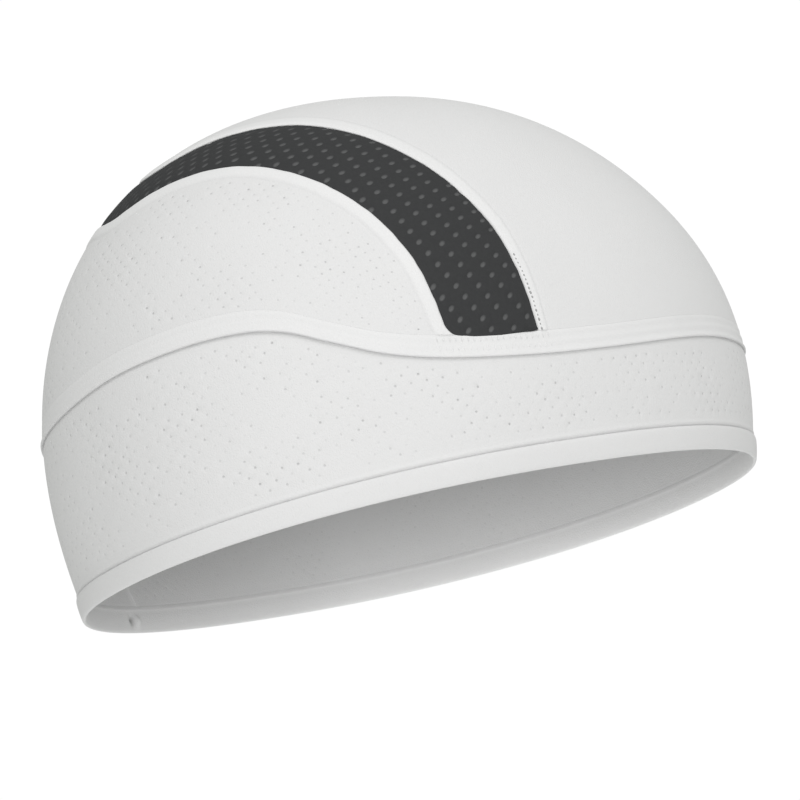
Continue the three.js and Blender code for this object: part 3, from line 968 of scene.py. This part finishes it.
def stitch_tree():
    """Geometry nodes that set small beads of thread along a line, each lying on the cloth."""
    tree = bpy.data.node_groups.new("stitches", "GeometryNodeTree")
    tree.interface.new_socket("Line", in_out="INPUT", socket_type="NodeSocketGeometry")
    tree.interface.new_socket("Spacing", in_out="INPUT", socket_type="NodeSocketFloat")
    tree.interface.new_socket("Size", in_out="INPUT", socket_type="NodeSocketVector")
    tree.interface.new_socket("Thread", in_out="INPUT", socket_type="NodeSocketMaterial")
    tree.interface.new_socket("Stitches", in_out="OUTPUT", socket_type="NodeSocketGeometry")
    nodes, links = tree.nodes, tree.links
    given = nodes.new("NodeGroupInput")
    made = nodes.new("NodeGroupOutput")
    curve = nodes.new("GeometryNodeMeshToCurve")
    spaced = nodes.new("GeometryNodeResampleCurve")
    spaced.mode = "LENGTH"
    bead = nodes.new("GeometryNodeMeshIcoSphere")
    bead.inputs["Radius"].default_value = 1.0
    bead.inputs["Subdivisions"].default_value = 2
    uneven_size = nodes.new("FunctionNodeRandomValue")
    uneven_size.data_type = "FLOAT"
    uneven_size.inputs["Min"].default_value = BEAD_LEAST
    uneven_size.inputs["Max"].default_value = BEAD_MOST
    uneven_size.inputs["Seed"].default_value = 4
    grown = nodes.new("ShaderNodeVectorMath")
    grown.operation = "SCALE"
    standing = nodes.new("GeometryNodeInputNamedAttribute")
    standing.data_type = "FLOAT_VECTOR"
    standing.inputs["Name"].default_value = "outward"
    upright = nodes.new("FunctionNodeAlignRotationToVector")
    upright.axis = "Z"
    along = nodes.new("FunctionNodeAlignRotationToVector")
    along.axis = "X"
    along.pivot_axis = "Z"
    tangent = nodes.new("GeometryNodeInputTangent")
    placed = nodes.new("GeometryNodeInstanceOnPoints")
    real = nodes.new("GeometryNodeRealizeInstances")
    dyed = nodes.new("GeometryNodeSetMaterial")
    links.new(given.outputs["Line"], curve.inputs["Mesh"])
    links.new(curve.outputs["Curve"], spaced.inputs["Curve"])
    links.new(given.outputs["Spacing"], spaced.inputs["Length"])
    links.new(standing.outputs["Attribute"], upright.inputs["Vector"])
    links.new(upright.outputs["Rotation"], along.inputs["Rotation"])
    links.new(tangent.outputs["Tangent"], along.inputs["Vector"])
    links.new(spaced.outputs["Curve"], placed.inputs["Points"])
    links.new(bead.outputs["Mesh"], placed.inputs["Instance"])
    links.new(along.outputs["Rotation"], placed.inputs["Rotation"])
    links.new(given.outputs["Size"], grown.inputs[0])
    links.new(uneven_size.outputs["Value"], grown.inputs["Scale"])
    links.new(grown.outputs["Vector"], placed.inputs["Scale"])
    links.new(placed.outputs["Instances"], real.inputs["Geometry"])
    links.new(real.outputs["Geometry"], dyed.inputs["Geometry"])
    links.new(given.outputs["Thread"], dyed.inputs["Material"])
    links.new(dyed.outputs["Geometry"], made.inputs["Stitches"])
    return tree


def stitch_rows(name, tree, lines, spacing, size, material):
    """A plain mesh of stitches along lines of face points."""
    points = np.vstack(lines)
    moved = points + TO_ORIGIN
    starts = np.cumsum([0] + [len(line) for line in lines])
    edges = [(i, i + 1) for a, b in zip(starts[:-1], starts[1:]) for i in range(a, b - 1)]
    guide_mesh = bpy.data.meshes.new(name + "_guide")
    guide_mesh.from_pydata(moved.tolist(), edges, [])
    attribute = guide_mesh.attributes.new("outward", "FLOAT_VECTOR", "POINT")
    attribute.data.foreach_set("vector", outward(points).astype(np.float32).ravel())
    guide = bpy.data.objects.new(name + "_guide", guide_mesh)
    bpy.context.collection.objects.link(guide)
    modifier = guide.modifiers.new("stitches", "NODES")
    modifier.node_group = tree
    values = {"Spacing": spacing, "Size": size, "Thread": material}
    for item in tree.interface.items_tree:
        if item.name in values:
            modifier[item.identifier] = values[item.name]
    ready = guide.evaluated_get(bpy.context.evaluated_depsgraph_get())
    mesh = bpy.data.meshes.new_from_object(ready)
    mesh.shade_smooth()
    bpy.data.objects.remove(guide)
    piece = bpy.data.objects.new(name, mesh)
    bpy.context.collection.objects.link(piece)
    return piece


def thread_material(name, shade):
    """Plain thread in a shade of grey."""
    material, shader, _ = cloth_material(name)
    shader.inputs["Base Color"].default_value = (shade, shade, shade, 1)
    shader.inputs["Roughness"].default_value = 0.8
    return material


def beside_back_edge(side, low, high, away):
    """A line up along the back edge of the stripe, on the crown's margin."""
    angle = foot_angle(back_edge) + np.linspace(low, high, 40) / ARCH_RADIUS
    line = arch_point(angle, back_edge(angle) + away)
    line += outward(line) * 0.31 * MM
    return line * [side, 1, 1]


def on_strip(side, start, end, up):
    """A line along the seam strip at a height above its lower edge."""
    angle = np.linspace(start, end, 60)
    line = wall_point(angle, seam_height(angle) + up)
    line += outward(line) * 0.16 * MM
    return line * [side, 1, 1]


stitches = stitch_tree()
needle_lines = [beside_back_edge(side, NEEDLE_FROM, NEEDLE_TO, NEEDLE_AWAY) for side in (1, -1)]
needle_marks = stitch_rows("needle_marks", stitches, needle_lines, NEEDLE_SPACING, NEEDLE_SIZE,
                           thread_material("grey_thread", 0.4))
dress(needle_marks, None, None)
cover_lines = [on_strip(side, front_foot_round - 0.06, back_foot_round + 0.03, up)
               for side in (1, -1) for up in COVER_HEIGHTS]
cover_stitches = stitch_rows("cover_stitches", stitches, cover_lines, COVER_SPACING, COVER_SIZE,
                             thread_material("white_thread", 0.84))
dress(cover_stitches, None, None)


# Camera, light and backdrop: a long lens from a little below, plain white behind.
CAMERA_ANGLES = (50.030, -10.749, -15.911)
CAMERA_PLACE = (0.764736, -0.634500, -0.266568)
CAMERA_LENS = 176.48
LIGHT_AIM = Vector((0, 0, -60 * MM))
LIGHT_COLOR = (1.0, 0.985, 1.0)
AMBIENT_COLOR = (0.985, 1.0, 0.975, 1)
FLOOR_REACH, FLOOR_DEPTH = 40, -1.2


def aim_camera():
    azimuth, elevation, roll = (math.radians(angle) for angle in CAMERA_ANGLES)
    back = Vector((math.sin(azimuth) * math.cos(elevation), -math.cos(azimuth) * math.cos(elevation),
                   math.sin(elevation)))
    right = Vector((math.cos(azimuth), math.sin(azimuth), 0))
    up = back.cross(right)
    across = math.cos(roll) * right + math.sin(roll) * up
    upward = -math.sin(roll) * right + math.cos(roll) * up
    camera = bpy.data.objects.new("camera", bpy.data.cameras.new("camera"))
    bpy.context.collection.objects.link(camera)
    camera.matrix_world = Matrix((across, upward, back)).transposed().to_4x4()
    camera.location = CAMERA_PLACE
    camera.data.lens = CAMERA_LENS
    camera.data.sensor_width = 36
    camera.data.clip_start = 0.05
    bpy.context.scene.camera = camera


def area_light(name, location, size, power):
    light = bpy.data.objects.new(name, bpy.data.lights.new(name, "AREA"))
    bpy.context.collection.objects.link(light)
    light.location = location
    light.rotation_euler = (Vector(location) - LIGHT_AIM).to_track_quat("Z", "Y").to_euler()
    light.data.shape = "DISK"
    light.data.size = size
    light.data.energy = power
    light.data.color = LIGHT_COLOR
    light.visible_camera = False


def light_scene():
    """Soft lamps all round and a plain white backdrop."""
    world = bpy.data.worlds.new("world")
    bpy.context.scene.world = world
    world.use_nodes = True
    nodes, links = world.node_tree.nodes, world.node_tree.links
    nodes.clear()
    output = nodes.new("ShaderNodeOutputWorld")
    seen = nodes.new("ShaderNodeBackground")
    ambient = nodes.new("ShaderNodeBackground")
    path = nodes.new("ShaderNodeLightPath")
    mix = nodes.new("ShaderNodeMixShader")
    seen.inputs["Color"].default_value = (1, 1, 1, 1)
    seen.inputs["Strength"].default_value = 1.02
    ambient.inputs["Color"].default_value = AMBIENT_COLOR
    ambient.inputs["Strength"].default_value = 0.53
    links.new(path.outputs["Is Camera Ray"], mix.inputs[0])
    links.new(ambient.outputs[0], mix.inputs[1])
    links.new(seen.outputs[0], mix.inputs[2])
    links.new(mix.outputs[0], output.inputs["Surface"])
    area_light("front", (0.828, -0.694, -0.265), 0.9, 3.75)
    area_light("top", (0.610, -0.142, 0.844), 0.9, 3.8)
    area_light("side", (1.006, 0.261, -0.420), 0.9, 1.1)
    area_light("under", (-0.079, -0.308, -1.113), 0.9, 1.6)
    area_light("behind", (-0.790, 0.660, 0.150), 0.6, 1.8)


aim_camera()
light_scene()
bpy.context.scene.view_settings.view_transform = "Standard"
bpy.context.scene.view_settings.look = "None"

floor_mesh = bpy.data.meshes.new("floor")
floor_corners = [(x * FLOOR_REACH, y * FLOOR_REACH, FLOOR_DEPTH)
                 for x, y in ((-1, -1), (1, -1), (1, 1), (-1, 1))]
floor_mesh.from_pydata(floor_corners, [], [(0, 1, 2, 3)])
floor = bpy.data.objects.new("floor", floor_mesh)
bpy.context.collection.objects.link(floor)
floor_material, floor_shader, floor_place = cloth_material("floor")
floor_shader.inputs["Base Color"].default_value = (0.92, 0.92, 0.92, 1)
floor_shader.inputs["Roughness"].default_value = 0.9
floor_shader.inputs["Emission Strength"].default_value = 0.46
feed(floor_shader, "Emission Color", floor_place.node("ShaderNodeLightPath", "Is Camera Ray"))
floor_mesh.materials.append(floor_material)
